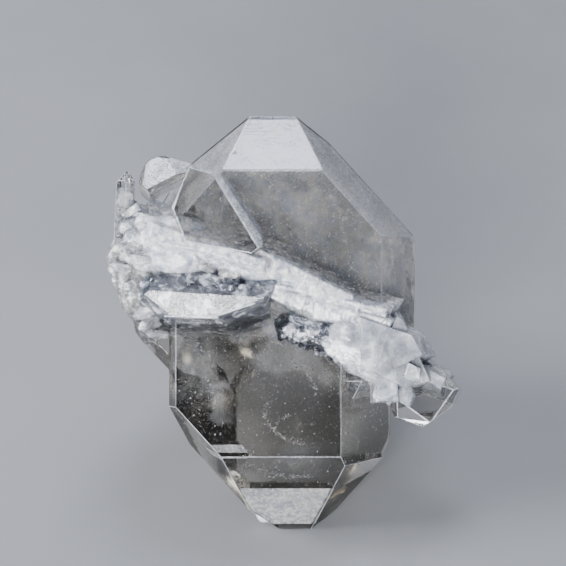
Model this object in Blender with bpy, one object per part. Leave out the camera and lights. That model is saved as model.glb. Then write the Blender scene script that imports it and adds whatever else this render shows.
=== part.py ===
# Faden quartz cluster: two parallel quartz tablets, one above the other, joined along a slanting
# milky thread of broken and healed growth (the faden). Smaller crystals sit along the thread: a
# clear bevelled tablet and a rounded one at its upper left, a rough ledge and a druse of small
# points below them, and a short tail crystal at its lower right. Two stout crystals behind carry
# the cluster as it leans back. Everything has grown together, so it is one solid.
#
# The cluster is modelled upright and face on, in millimetres: X to the right, Y away from the
# viewer, Z up along the tablets' long axis, the origin in the middle of the thread. At the end
# it is leaned back to the way it rests, its three lowest tips are flattened a little, and it is
# scaled to metres.

import math
import random

import bmesh
import bpy
from mathutils import Matrix, Vector, noise

METRES_PER_MM = 0.001
LEAN_BACK = 40.0  # degrees the upright tablets lean back to rest
STAND = 29.1  # mm from the origin down to the table, where the three standing tips are worn flat

# Quartz: the main termination faces rise this many degrees from the prism faces
RHOMB = 38.2

# Each tablet face is (azimuth, rise, distance from the origin in mm). Azimuth 0 faces the viewer,
# 90 faces right and 180 faces away; a negative rise is a face of the lower termination.
UPPER_TABLET = (
    (0, 0, 0.0),
    (60, 0, 10.7),
    (120, -2.5, 19.1),
    (180, 0, 15.0),
    (240, 0, 17.5),
    (300, 0, 11.6),
    (0, RHOMB, 8.8),
    (60, RHOMB, 12.2),
    (120, RHOMB, 18.6),
    (180, RHOMB, 17.7),
    (240, RHOMB, 22.4),
    (300, RHOMB, 14.0),
    (0, -RHOMB, 7.6),
    (60, -RHOMB, 14.3),
    (120, -RHOMB, 20.7),
    (180, -RHOMB, 19.0),
    (240, -RHOMB, 18.3),
    (300, -RHOMB, 12.0),
)
LOWER_TABLET = (
    (0, 0, 0.9),
    (60, 0, 6.7),
    (120, 0, 17.9),
    (180, 0, 15.0),
    (240, 0, 12.8),
    (300, 0, 12.0),
    (0, -RHOMB, 14.1),
    (60, -RHOMB, 19.4),
    (120, -RHOMB, 26.75),
    (180, -RHOMB, 25.8),
    (240, -RHOMB, 22.9),
    (300, -RHOMB, 19.0),
)
SUTURE_BEARING = 21.0  # the plane along the thread that the lower tablet stops at
SUTURE_DISTANCE = 0.1

random.seed(7)


def crystal_normal(azimuth, rise):
    turn = math.radians(azimuth)
    lift = math.radians(rise)
    flat = math.cos(lift)
    return Vector((math.sin(turn) * flat, -math.cos(turn) * flat, math.sin(lift)))


def slab_normal(bearing, tilt):
    """Bearing is clockwise from up as the viewer sees it; tilt 0 faces the viewer, 180 faces away."""
    turn = math.radians(bearing)
    lean = math.radians(tilt)
    across = math.sin(lean)
    return Vector((math.sin(turn) * across, -math.cos(lean), math.cos(turn) * across))


def random_normal():
    height = random.uniform(-1.0, 1.0)
    turn = random.uniform(0.0, math.tau)
    flat = math.sqrt(1.0 - height * height)
    return Vector((flat * math.cos(turn), flat * math.sin(turn), height))


def cut_away(bm, point, normal):
    """Cuts off all that lies beyond a plane and closes the cut with one flat face."""
    everything = bm.verts[:] + bm.edges[:] + bm.faces[:]
    result = bmesh.ops.bisect_plane(
        bm, geom=everything, plane_co=point, plane_no=normal, clear_outer=True, dist=1e-6
    )
    rim = [item for item in result["geom_cut"] if isinstance(item, bmesh.types.BMEdge)]
    if len(rim) > 2:
        bmesh.ops.edgeloop_fill(bm, edges=rim)


def cut_block(planes, size=120.0):
    """A convex solid from (normal, distance) planes round its own middle."""
    bm = bmesh.new()
    bmesh.ops.create_cube(bm, size=size)
    for normal, distance in planes:
        cut_away(bm, normal * distance, normal)
    return bm


def finish_piece(bm, name, turn=None, centre=(0, 0, 0)):
    if turn is not None:
        bm.transform(turn)
    bm.transform(Matrix.Translation(Vector(centre)))
    bmesh.ops.triangulate(bm, faces=bm.faces[:])
    bmesh.ops.recalc_face_normals(bm, faces=bm.faces[:])
    mesh = bpy.data.meshes.new(name)
    bm.to_mesh(mesh)
    bm.free()
    piece = bpy.data.objects.new(name, mesh)
    bpy.context.scene.collection.objects.link(piece)
    return piece


def tablet(name, faces, extra=()):
    planes = [(crystal_normal(azimuth, rise), distance) for azimuth, rise, distance in faces]
    return finish_piece(cut_block(planes + list(extra)), name)


def slab(name, centre, faces):
    """A convex piece from (bearing, tilt, distance) faces round its own centre."""
    planes = [(slab_normal(bearing, tilt), distance) for bearing, tilt, distance in faces]
    return finish_piece(cut_block(planes), name, centre=centre)


def quartz_point(name, base, towards, radius, length, buried, flat=1.0, spin=0.0):
    """A six-sided crystal that grows from base along a direction and ends in a point."""
    planes = []
    for side in range(6):
        outward = crystal_normal(60.0 * side, 0.0)
        planes.append((outward, radius * (flat if side % 3 == 0 else 1.0)))
        sloped = crystal_normal(60.0 * side, RHOMB)
        reach = length if side % 2 == 0 else length + 0.22 * radius
        planes.append((sloped, reach * sloped.z))
    planes.append((Vector((0, 0, -1)), buried))
    axis = Vector(towards).normalized()
    aim = axis.to_track_quat("Z", "Y").to_matrix().to_4x4()
    turn = aim @ Matrix.Rotation(math.radians(spin), 4, "Z")
    return finish_piece(cut_block(planes, size=80.0), name, turn=turn, centre=base)


def lump(name, centre, reach, stretch, cuts=15):
    """A broken, many-faced lump, its faces turned at random."""
    planes = [(random_normal(), reach * random.uniform(0.78, 1.0)) for _ in range(cuts)]
    bm = cut_block(planes, size=2.1 * reach)
    bm.transform(Matrix.Diagonal((*stretch, 1.0)))
    turn = Matrix.Rotation(math.radians(random.uniform(-25, 25)), 4, random_normal())
    return finish_piece(bm, name, turn=turn, centre=centre)


def join_solids(whole, pieces):
    for piece in pieces:
        union = whole.modifiers.new("grown together", "BOOLEAN")
        union.operation = "UNION"
        union.solver = "EXACT"
        union.object = piece
        bpy.context.view_layer.objects.active = whole
        bpy.ops.object.modifier_apply(modifier=union.name)
        bpy.data.objects.remove(piece, do_unlink=True)


def carve(whole, cutters):
    for cutter in cutters:
        cut = whole.modifiers.new("broken out", "BOOLEAN")
        cut.operation = "DIFFERENCE"
        cut.solver = "EXACT"
        cut.object = cutter
        bpy.context.view_layer.objects.active = whole
        bpy.ops.object.modifier_apply(modifier=cut.name)
        bpy.data.objects.remove(cutter, do_unlink=True)


def drop_loose_chips(whole):
    """Keeps the one grown-together body and drops any chip that touches nothing."""
    bm = bmesh.new()
    bm.from_mesh(whole.data)
    unseen = set(bm.verts)
    bodies = []
    while unseen:
        body = [unseen.pop()]
        for vertex in body:
            for edge in vertex.link_edges:
                other = edge.other_vert(vertex)
                if other in unseen:
                    unseen.remove(other)
                    body.append(other)
        bodies.append(body)
    bodies.sort(key=len)
    for chip in bodies[:-1]:
        bmesh.ops.delete(bm, geom=chip, context="VERTS")
    bm.to_mesh(whole.data)
    bm.free()


def clear_scene():
    for thing in list(bpy.data.objects):
        bpy.data.objects.remove(thing, do_unlink=True)


def thread_pieces():
    """The milky thread: an upper and a lower rib side by side, broken across in places."""
    ribs = [
        slab("milky ridge far left", (-12.6, 0.4, 5.0), (
            (16, 14, 3.0), (18, 62, 2.3), (-72, 70, 4.8), (108, 78, 4.2), (188, 50, 2.5), (0, 180, 3.0),
        )),
        slab("milky ridge left", (-6.2, 0.4, 3.3), (
            (20, 12, 3.15), (22, 62, 2.2), (-74, 78, 4.6), (112, 66, 5.0), (196, 54, 2.3), (0, 180, 3.0),
        )),
        slab("upper rib left", (0.4, 0.6, 1.2), (
            (24, 8, 2.15), (26, 72, 1.75), (-60, 75, 5.0), (110, 70, 4.6), (194, 60, 1.9), (0, 180, 3.0),
        )),
        slab("upper rib middle", (6.0, 0.6, -1.45), (
            (22, 6, 1.95), (26, 74, 1.5), (-75, 80, 4.6), (104, 75, 3.1), (194, 62, 1.5), (0, 180, 3.0),
        )),
        slab("upper rib right", (11.2, 0.6, -3.15), (
            (18, 6, 2.25), (14, 70, 0.95), (-76, 85, 3.9), (118, 72, 2.2), (194, 62, 1.15), (0, 180, 3.0),
        )),
        slab("lower rib left", (1.8, 0.6, -2.4), (
            (200, 10, 1.6), (15, 80, 1.9), (-80, 70, 4.4), (100, 80, 3.2), (208, 62, 1.7), (0, 180, 3.0),
        )),
        slab("lower rib middle", (6.6, 0.6, -3.8), (
            (196, 8, 1.95), (14, 82, 1.9), (-84, 80, 3.1), (106, 72, 3.0), (188, 58, 1.75), (0, 180, 3.0),
        )),
        slab("lower rib right", (11.2, 0.6, -5.3), (
            (196, 10, 1.5), (14, 82, 1.6), (-76, 82, 3.4), (112, 72, 2.4), (197, 55, 1.6), (0, 180, 3.0),
        )),
    ]
    return ribs


def clear_pieces():
    """The bevelled window crystal, the rounded crystal beside it and the small point at far left."""
    window = slab("window crystal", (-8.5, 0.0, 9.75), (
        (20, 4, 2.5), (17, 62, 4.15), (17, 88, 3.9), (56, 45, 3.05), (56, 72, 3.0), (56, 92, 3.25),
        (72, 80, 4.55), (104, 84, 7.2), (143, 80, 8.0), (190, 80, 5.6), (-111, 78, 5.4),
        (-70, 66, 5.2), (-66, 88, 4.75), (0, 180, 5.0),
    ))
    rounded = slab("rounded crystal", (-15.0, 1.0, 13.5), (
        (0, 12, 2.3), (-30, 38, 2.75), (40, 35, 2.6), (-73, 62, 3.0), (-41, 66, 2.85), (-22, 70, 2.7),
        (10, 66, 2.65), (-85, 88, 2.9), (-60, 88, 2.6), (-33, 88, 2.5), (-8, 88, 2.4), (15, 88, 2.37),
        (107, 82, 3.0), (149, 60, 2.0), (151, 84, 1.45), (-138, 80, 3.1), (0, 180, 3.6),
        (0, 135, 4.0),
    ))
    stub = slab("stub below the rounded crystal", (-16.1, 0.6, 10.1), (
        (30, 22, 2.1), (56, 84, 0.65), (-112, 76, 0.95), (-20, 80, 1.25), (170, 70, 1.6), (0, 180, 4.0),
    ))
    point = quartz_point("small point", (-19.9, 0.8, 9.6), (0.06, -0.12, 1.0), 1.15, 4.5, 4.0, spin=12)
    return [window, rounded, stub, point]


def notch():
    """The small three-cornered hollow between the rounded crystal and the window crystal."""
    return slab("notch", (-14.65, -3.0, 11.0), (
        (-28, 90, 0.7), (84, 90, 1.1), (178, 90, 1.0), (-118, 90, 0.75), (0, 0, 6.0), (0, 180, 5.6),
    ))


def ledge_pieces():
    """The rough ledge that juts out under the milky mass, and the tablet behind it."""
    ledge = slab("ledge", (-10.4, 0.0, -2.1), (
        (4, 58, 3.35), (180, 12, 4.7), (180, 75, 3.1), (-143, 72, 4.7), (-154, 80, 4.2), (-76, 80, 7.2),
        (-43, 76, 6.0), (24, 84, 6.0), (112, 78, 8.2), (160, 72, 3.9), (0, 180, 6.0),
    ))
    backing = slab("tablet behind the ledge", (-12.9, 6.0, -2.1), (
        (0, 0, 4.5), (-114, 72, 7.0), (-133, 64, 7.25), (-133, 92, 7.35), (-101, 84, 6.8), (-35, 80, 6.0),
        (40, 84, 8.0), (113, 80, 7.0), (180, 80, 9.5), (0, 180, 6.5), (-130, 135, 9.0),
    ))
    return [ledge, backing]


def rough_body(name, centre, reach, roll, relief, grain):
    """A rounded mass with an uneven broken surface; reach is its half sizes and roll is clockwise."""
    bm = bmesh.new()
    bmesh.ops.create_icosphere(bm, subdivisions=3, radius=1.0)
    turn = Matrix.Rotation(math.radians(roll), 4, "Y")
    for vertex in bm.verts:
        direction = vertex.co.normalized()
        squared = direction * (max(abs(direction.x), abs(direction.y), abs(direction.z)) ** -0.35)
        place = Vector((squared.x * reach[0], squared.y * reach[1], squared.z * reach[2]))
        coarse = noise.noise(place / grain)
        fine = noise.noise(place / (0.42 * grain) + Vector((7, 3, 5)))
        vertex.co = place + direction * relief * (coarse + 0.55 * fine)
    return finish_piece(bm, name, turn=turn, centre=centre)


def milky_mass():
    """The broken, healed growth at the thread's upper left, with crags standing out of it."""
    pieces = [
        rough_body("milky mass", (-14.0, 3.0, 4.6), (6.6, 5.2, 4.3), 14.0, 0.75, 2.6),
        rough_body("milky run to the thread", (-5.4, 2.2, 2.4), (6.0, 4.2, 2.5), 24.0, 0.6, 2.4),
        rough_body("left foot", (-17.6, 4.6, 0.2), (3.7, 4.6, 4.6), -14.0, 0.8, 2.2),
        rough_body("left bulge", (-19.9, 4.0, 2.6), (2.1, 3.4, 2.4), 0.0, 0.5, 1.7),
        rough_body("left shoulder", (-18.8, 2.6, 7.4), (2.2, 2.6, 2.6), 0.0, 0.45, 1.6),
    ]
    for step in range(34):
        along = random.uniform(0.0, 1.0)
        middle = Vector((-19.6 + 15.5 * along, -1.0, 0.0))
        middle.z = 6.4 - 3.9 * along + random.uniform(-3.4, 2.6) * (1.0 - 0.35 * along)
        middle.y += random.uniform(-0.5, 0.9)
        pieces.append(lump("crag", middle, random.uniform(0.7, 1.35), (1.4, 0.85, 0.75), cuts=10))
    return pieces


def edge_at(height):
    """Where the left edge of the broken mass stands, X at a height Z."""
    bulge = 1.6 * math.exp(-(((height - 2.6) / 2.0) ** 2))
    return -21.3 - bulge + 0.44 * max(0.0, 0.5 - height) ** 1.05


def druse():
    """Small points that crust the far left edge and the ledge."""
    points = []
    for step in range(46):
        height = 9.4 - 16.6 * step / 45.0
        depth = random.uniform(-0.8, 7.5)
        base = Vector((edge_at(height) * (1.0 + depth / 190.0) + 1.35, depth, height))
        base.x += 0.045 * (depth - 2.5) ** 2
        towards = Vector((-1.0, random.uniform(-0.9, 0.5), random.uniform(-0.9, 0.5)))
        radius = random.uniform(0.42, 0.95)
        points.append(quartz_point(
            "druse point", base, towards, radius, radius * random.uniform(1.4, 1.9), 2.4,
            flat=random.uniform(0.75, 1.1), spin=random.uniform(0, 60),
        ))
    for step in range(40):
        base = Vector((-16.8 + 11.6 * step / 39.0, 0.0, random.uniform(-2.4, 0.4)))
        base.y = (0.846 * (base.z + 2.1) - 3.35) / 0.53 + random.uniform(0.1, 0.5)
        towards = Vector((random.uniform(-1.0, 0.9), random.uniform(-0.9, -0.1), random.uniform(0.0, 1.0)))
        radius = random.uniform(0.3, 0.65)
        points.append(quartz_point(
            "ledge point", base, towards, radius, radius * random.uniform(0.7, 1.1), 1.8,
            flat=random.uniform(0.7, 1.1), spin=random.uniform(0, 60),
        ))
    return points


def cuff_pieces():
    """The grey slabs below the thread on the right, that the tail grows out of."""
    cuff = [
        rough_body("cuff", (10.4, 1.4, -8.6), (6.6, 3.3, 3.4), 27.0, 0.5, 2.3),
        rough_body("cuff left", (3.6, 0.6, -6.2), (4.8, 2.0, 1.9), 14.0, 0.45, 2.0),
        slab("cuff face", (12.4, 0.4, -8.6), (
            (50, 13, 2.3), (20, 80, 3.4), (-90, 76, 3.2), (60, 72, 4.4), (150, 74, 3.0), (195, 70, 3.4),
            (0, 180, 4.0),
        )),
        slab("cuff right", (15.0, 1.4, -9.2), (
            (62, 26, 2.3), (36, 80, 3.9), (66, 84, 2.0), (-60, 80, 3.4), (160, 78, 4.2), (205, 76, 4.0),
            (0, 180, 5.0),
        )),
        slab("rounded tooth", (16.0, 0.2, -11.3), (
            (0, 10, 1.9), (60, 40, 1.9), (-60, 40, 1.9), (180, 40, 1.8), (30, 80, 1.3), (95, 82, 1.2),
            (160, 80, 1.2), (215, 80, 1.3), (-80, 80, 1.3), (0, 180, 3.0),
        )),
        slab("second tooth", (12.9, -0.2, -13.6), (
            (0, 12, 1.5), (150, 50, 1.5), (210, 50, 1.5), (90, 82, 1.5), (180, 82, 1.2), (-90, 82, 1.4),
            (10, 80, 2.5), (0, 180, 3.0),
        )),
    ]
    teeth = [
        quartz_point("tooth", (15.2, 1.4, -12.6), (0.22, -0.35, -1.0), 1.0, 3.2, 2.5, spin=20),
        quartz_point("tooth", (13.5, 1.6, -12.8), (-0.1, -0.25, -1.0), 0.75, 2.7, 2.5, spin=41),
        quartz_point("tooth", (12.1, 0.9, -12.9), (-0.2, -0.3, -1.0), 0.6, 2.3, 2.5, spin=5),
    ]
    for step in range(20):
        middle = Vector((1.0 + 14.5 * step / 19.0, -1.5, 0.0))
        middle.z = -4.9 - 0.36 * middle.x + random.uniform(-2.9, 0.6)
        middle.y += random.uniform(-0.4, 0.9)
        teeth.append(lump("cuff crag", middle, random.uniform(0.6, 1.2), (1.2, 0.85, 0.9), cuts=10))
    return cuff + teeth


def tail_pieces():
    body = slab("tail crystal", (18.4, 4.0, -14.4), (
        (150, 14, 2.2), (130, 46, 2.75), (205, 50, 3.2), (28, 50, 3.1), (29, 82, 3.85), (48, 84, 3.7),
        (27, 88, 3.9), (115, 78, 3.4), (145, 84, 2.95), (201, 82, 3.9), (-102, 84, 4.3), (-67, 86, 4.6),
        (0, 180, 3.2), (90, 140, 3.9), (180, 140, 3.6),
    ))
    ridge = slab("ridge on the tail", (17.4, 3.4, -11.9), (
        (30, 22, 1.9), (29, 74, 1.7), (48, 80, 3.0), (112, 72, 3.3), (200, 40, 1.7), (198, 80, 1.3), (-70, 80, 3.2),
        (0, 180, 3.0),
    ))
    return [body, ridge]


def back_pieces():
    """The hidden side: two stout crystals that carry the cluster, and small ones round their roots."""
    left = quartz_point(
        "left prop", (-6.4, 12.0, -4.5), (-0.2, 0.86, -0.47), 4.7, 21.5, 8.0, flat=0.8, spin=14
    )
    right = quartz_point(
        "right prop", (7.2, 12.0, -4.0), (0.2, 0.84, -0.5), 4.1, 21.2, 8.0, flat=0.9, spin=40
    )
    small = [
        quartz_point("back point", (-1.0, 13.5, -1.5), (-0.05, 1.0, 0.25), 3.1, 7.0, 6.0, flat=0.8, spin=25),
        quartz_point("back point", (-13.5, 8.5, 2.5), (-0.5, 0.9, 0.3), 2.6, 7.0, 6.0, spin=8),
        quartz_point("back point", (12.8, 10.0, 0.5), (0.35, 0.9, 0.45), 2.3, 6.0, 6.0, flat=0.9, spin=52),
        quartz_point("back point", (-17.0, 7.0, -2.5), (-0.55, 0.8, -0.35), 2.1, 5.6, 5.0, spin=33),
        quartz_point("back point", (4.2, 12.6, 2.4), (0.2, 1.0, 0.1), 2.0, 5.0, 5.0, flat=0.85, spin=3),
    ]
    return [left, right] + small


def rest_on_table(whole):
    """Leans the cluster back, wears its standing tips flat and scales it to metres."""
    whole.data.transform(Matrix.Rotation(math.radians(-LEAN_BACK), 4, "X"))
    bm = bmesh.new()
    bm.from_mesh(whole.data)
    everything = bm.verts[:] + bm.edges[:] + bm.faces[:]
    result = bmesh.ops.bisect_plane(
        bm, geom=everything, plane_co=(0, 0, -STAND), plane_no=(0, 0, -1), clear_outer=True, dist=1e-5
    )
    rim = [item for item in result["geom_cut"] if isinstance(item, bmesh.types.BMEdge)]
    bmesh.ops.holes_fill(bm, edges=rim, sides=0)
    bmesh.ops.triangulate(bm, faces=bm.faces[:])
    bmesh.ops.recalc_face_normals(bm, faces=bm.faces[:])
    bm.to_mesh(whole.data)
    bm.free()
    corners = [vertex.co for vertex in whole.data.vertices]
    middle = Vector((
        0.5 * (min(corner.x for corner in corners) + max(corner.x for corner in corners)),
        0.5 * (min(corner.y for corner in corners) + max(corner.y for corner in corners)),
        -STAND,
    ))
    whole.data.transform(Matrix.Translation(-middle))
    whole.data.transform(Matrix.Scale(METRES_PER_MM, 4))
    print("the upright frame's origin now stands at", -middle, "mm")


def quartz_material():
    material = bpy.data.materials.new("clear quartz")
    material.use_nodes = True
    shader = material.node_tree.nodes["Principled BSDF"]
    shader.inputs["Base Color"].default_value = (0.93, 0.94, 0.97, 1.0)
    shader.inputs["Roughness"].default_value = 0.08
    shader.inputs["IOR"].default_value = 1.544
    return material


def build():
    clear_scene()
    suture = slab_normal(SUTURE_BEARING, 90.0)
    whole = tablet("quartz_cluster", UPPER_TABLET)
    lower = tablet("lower tablet", LOWER_TABLET, extra=((suture, SUTURE_DISTANCE),))
    join_solids(whole, [lower])
    join_solids(whole, back_pieces())
    join_solids(whole, milky_mass())
    join_solids(whole, ledge_pieces())
    join_solids(whole, thread_pieces())
    join_solids(whole, cuff_pieces())
    join_solids(whole, tail_pieces())
    join_solids(whole, clear_pieces())
    join_solids(whole, druse())
    carve(whole, [notch()])
    drop_loose_chips(whole)
    rest_on_table(whole)
    whole.data.materials.clear()
    whole.data.materials.append(quartz_material())


build()
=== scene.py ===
# Faden quartz cluster: clear tablets, a milky thread and its druse, leaning back on a pale table.
# Pieces are cut upright and face on in millimetres (X right, Y away, Z up) round the thread's
# middle, as the CAD is, and then leaned back into the frame's metres.
import math
import random

import bpy
from mathutils import Matrix, Vector, noise


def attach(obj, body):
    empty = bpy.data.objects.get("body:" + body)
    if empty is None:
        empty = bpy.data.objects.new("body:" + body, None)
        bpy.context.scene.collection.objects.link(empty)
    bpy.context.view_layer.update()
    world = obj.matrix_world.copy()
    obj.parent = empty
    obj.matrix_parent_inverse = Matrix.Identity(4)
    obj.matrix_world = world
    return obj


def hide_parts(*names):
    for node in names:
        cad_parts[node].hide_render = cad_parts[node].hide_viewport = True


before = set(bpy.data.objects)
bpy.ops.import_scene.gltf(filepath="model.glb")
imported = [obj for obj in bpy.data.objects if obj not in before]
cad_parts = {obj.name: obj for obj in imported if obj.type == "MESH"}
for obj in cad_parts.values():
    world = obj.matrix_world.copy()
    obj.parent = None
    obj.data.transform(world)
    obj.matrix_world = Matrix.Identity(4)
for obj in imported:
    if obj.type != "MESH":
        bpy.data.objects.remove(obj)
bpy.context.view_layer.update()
random.seed(11)

stand = {
    "leanBack": 40.0,  # degrees
    "origin": (0.0708, -1.5443, 29.1),  # mm, the thread's middle above the table
    "rhomb": 38.2,  # degrees a quartz termination face rises from the prism
    "refraction": 1.544,  # quartz
}
millimetre = 0.001  # in the frame's metres
nearEnough = 1e-5  # a corner this near a cut lies on it
leanIn = (
    Matrix.Translation(Vector(stand["origin"]) * millimetre)
    @ Matrix.Rotation(math.radians(-stand["leanBack"]), 4, "X")
    @ Matrix.Scale(millimetre, 4)
)


def toLinear(hexColour):
    channels = [int(hexColour[i:i + 2], 16) / 255 for i in (1, 3, 5)]
    return tuple(c / 12.92 if c <= 0.04045 else ((c + 0.055) / 1.055) ** 2.4 for c in channels) + (1.0,)


def addNode(tree, kind, settings=None, links=None, stops=None):
    # one node: settings by socket or attribute name, what feeds its sockets, and a ramp's stops
    node = tree.nodes.new("ShaderNode" + kind)
    for key, value in (settings or {}).items():
        if isinstance(key, int) or key in node.inputs:
            node.inputs[key].default_value = value
        else:
            setattr(node, key, value)
    for key, source in (links or {}).items():
        tree.links.new(source.outputs[0] if hasattr(source, "outputs") else source, node.inputs[key])
    for index, (position, shade) in enumerate(stops or []):
        elements = node.color_ramp.elements
        element = elements[index] if index < 2 else elements.new(position)
        element.position = position
        element.color = toLinear(shade) if isinstance(shade, str) else (shade, shade, shade, 1)
        node.color_ramp.interpolation = "EASE"
    return node


def newMaterial(name):
    material = bpy.data.materials.new(name)
    material.use_nodes = True
    material.node_tree.nodes.clear()
    return material, material.node_tree


def deselectAll():
    for thing in bpy.context.selected_objects:
        thing.select_set(False)


def makeActive(thing):
    deselectAll()
    thing.select_set(True)
    bpy.context.view_layer.objects.active = thing


def crystalNormal(azimuth, rise):
    # azimuth 0 faces the viewer, 90 right, 180 away; rise is up from the prism faces
    turn, lift = math.radians(azimuth), math.radians(rise)
    return Vector((math.sin(turn) * math.cos(lift), -math.cos(turn) * math.cos(lift), math.sin(lift)))


def slabNormal(bearing, tilt):
    # bearing is clockwise from up as the viewer sees it; tilt 0 faces the viewer
    turn, lean = math.radians(bearing), math.radians(tilt)
    return Vector((math.sin(turn) * math.sin(lean), -math.cos(lean), math.cos(turn) * math.sin(lean)))


def randomNormal():
    height = random.uniform(-1, 1)
    turn = random.uniform(0, math.tau)
    flat = math.sqrt(1 - height * height)
    return Vector((flat * math.cos(turn), flat * math.sin(turn), height))


def cutBlock(name, planes, size=120.0):
    # a cube, cut in edit mode by each face's plane in turn
    deselectAll()
    bpy.ops.mesh.primitive_cube_add(size=size, location=(0, 0, 0))
    block = bpy.context.object
    block.name = block.data.name = name
    bpy.ops.object.mode_set(mode="EDIT")
    for normal, distance in planes:
        bpy.ops.mesh.select_all(action="SELECT")
        bpy.ops.mesh.bisect(
            plane_co=normal * distance, plane_no=normal, use_fill=True, clear_outer=True, threshold=nearEnough
        )
    bpy.ops.object.mode_set(mode="OBJECT")
    return block


def wearEdges(piece, width, segments=2, finish=None):
    # crystal edges are never quite sharp, and the worn line catches the light
    bevel = piece.modifiers.new("worn edges", "BEVEL")
    bevel.width = width
    bevel.segments = segments
    bevel.limit_method = "ANGLE"
    bevel.angle_limit = math.radians(8)
    if finish is not None:
        etchFaces(piece, [])
        bevel.material = finish
    makeActive(piece)
    bpy.ops.object.modifier_apply(modifier=bevel.name)


def place(piece, turn=None, centre=(0, 0, 0)):
    piece.data.transform(Matrix.Translation(Vector(centre)) @ (turn or Matrix.Identity(4)))
    return piece


def boolean(whole, piece, operation):
    step = whole.modifiers.new("boolean", "BOOLEAN")
    step.operation = operation
    step.solver = "EXACT"
    step.object = piece
    makeActive(whole)
    bpy.ops.object.modifier_apply(modifier=step.name)
    bpy.data.objects.remove(piece, do_unlink=True)


def growTogether(pieces):
    for piece in pieces[1:]:
        boolean(pieces[0], piece, "UNION")
    return pieces[0]


def joinPieces(name, pieces):
    deselectAll()
    for piece in pieces:
        piece.select_set(True)
    bpy.context.view_layer.objects.active = pieces[0]
    if len(pieces) > 1:
        bpy.ops.object.join()
    joined = pieces[0]
    joined.name = joined.data.name = name
    return joined


def etchFaces(piece, normals):
    # faces that point one of these ways, within about 14 degrees, take the frosted finish
    if not piece.data.materials:
        piece.data.materials.append(looks["clear"])
        piece.data.materials.append(looks["frosted"])
    for face in piece.data.polygons:
        if any(face.normal.dot(normal) > 0.97 for normal in normals):
            face.material_index = 1
    return piece


def finishPiece(piece, material, smoothAngle=None):
    # without a material the piece keeps its clear and frosted faces
    piece.data.transform(leanIn)
    makeActive(piece)
    bpy.ops.object.mode_set(mode="EDIT")
    bpy.ops.mesh.select_all(action="SELECT")
    bpy.ops.mesh.normals_make_consistent(inside=False)
    bpy.ops.object.mode_set(mode="OBJECT")
    if smoothAngle:
        bpy.ops.object.shade_smooth_by_angle(angle=math.radians(smoothAngle))
    if material:
        piece.data.materials.clear()
        piece.data.materials.append(material)
        for face in piece.data.polygons:
            face.material_index = 0
    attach(piece, "root")
    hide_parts("quartz_cluster")
    return piece


def facePlanes(faces, sunk=0.0):
    # a tablet's faces as planes, each sunk this far below its own surface
    return [(crystalNormal(azimuth, rise), distance - sunk) for azimuth, rise, distance in faces]


def tablet(name, planes, wear=0.045):
    piece = cutBlock(name, planes)
    wearEdges(piece, wear, finish=1)
    return piece


def slab(name, centre, faces, wear=0.05, finish=None):
    piece = cutBlock(name, [(slabNormal(bearing, tilt), distance) for bearing, tilt, distance in faces])
    if wear:
        wearEdges(piece, wear, finish=finish)
    return place(piece, centre=centre)


def quartzPoint(name, base, towards, radius, length, buried, flat=1.0, spin=0.0, wear=0.0):
    # a six-sided prism under a six-faced tip, every other tip face set a little further out
    planes = []
    for side in range(6):
        planes.append((crystalNormal(60 * side, 0), radius * (flat if side % 3 == 0 else 1.0)))
        sloped = crystalNormal(60 * side, stand["rhomb"])
        reach = length if side % 2 == 0 else length + 0.22 * radius
        planes.append((sloped, reach * sloped.z))
    planes.append((Vector((0, 0, -1)), buried))
    piece = cutBlock(name, planes, size=80.0)
    if wear:
        wearEdges(piece, wear, 1, 1)
    aim = Vector(towards).normalized().to_track_quat("Z", "Y").to_matrix().to_4x4()
    return place(piece, aim @ Matrix.Rotation(math.radians(spin), 4, "Z"), base)


def tinyPoint(name, look, base, towards):
    # one point of a crust, its size, flatness and turn left to chance
    radius = random.uniform(*look["pointRadius"])
    length = radius * random.uniform(*look["pointLength"])
    flat = random.uniform(*look["pointFlat"])
    return quartzPoint(name, base, towards, radius, length, look["pointBuried"], flat, random.uniform(0, 60))


def crag(name, centre, reach, stretch):
    # an angular lump, cut by ten planes that face every way
    planes = [(randomNormal(), reach * random.uniform(0.78, 1.0)) for _ in range(10)]
    piece = cutBlock(name, planes, size=2.1 * reach)
    turn = Matrix.Rotation(math.radians(random.uniform(-25, 25)), 4, randomNormal())
    return place(piece, turn @ Matrix.Diagonal((*stretch, 1)), centre)


def roughBody(name, centre, reach, roll, relief, grain):
    # a ball pressed towards a box and broken up by noise
    deselectAll()
    bpy.ops.mesh.primitive_ico_sphere_add(subdivisions=5, radius=1.0, location=(0, 0, 0))
    body = bpy.context.object
    body.name = body.data.name = name
    for vertex in body.data.vertices:
        way = vertex.co.normalized()
        pressed = way * (max(abs(way.x), abs(way.y), abs(way.z)) ** -0.35)
        spot = Vector((pressed.x * reach[0], pressed.y * reach[1], pressed.z * reach[2]))
        coarse = noise.noise(spot / grain)
        fine = noise.noise(spot / (0.42 * grain) + Vector((7, 3, 5)))
        finest = noise.noise(spot / (0.16 * grain) + Vector((2, 9, 4)))
        vertex.co = spot + way * relief * (coarse + 0.55 * fine + 0.3 * finest)
    return place(body, Matrix.Rotation(math.radians(roll), 4, "Y"), centre)


def objectInMillimetres(tree):
    # the crystal's own upright frame: object place, turned back up and scaled to millimetres
    coords = addNode(tree, "TexCoord")
    return addNode(
        tree, "Mapping",
        {
            "vector_type": "TEXTURE",
            "Location": tuple(millimetre * c for c in stand["origin"]),
            "Rotation": (math.radians(-stand["leanBack"]), 0, 0),
            "Scale": (millimetre, millimetre, millimetre),
        },
        {"Vector": coords.outputs["Object"]},
    )


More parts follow.
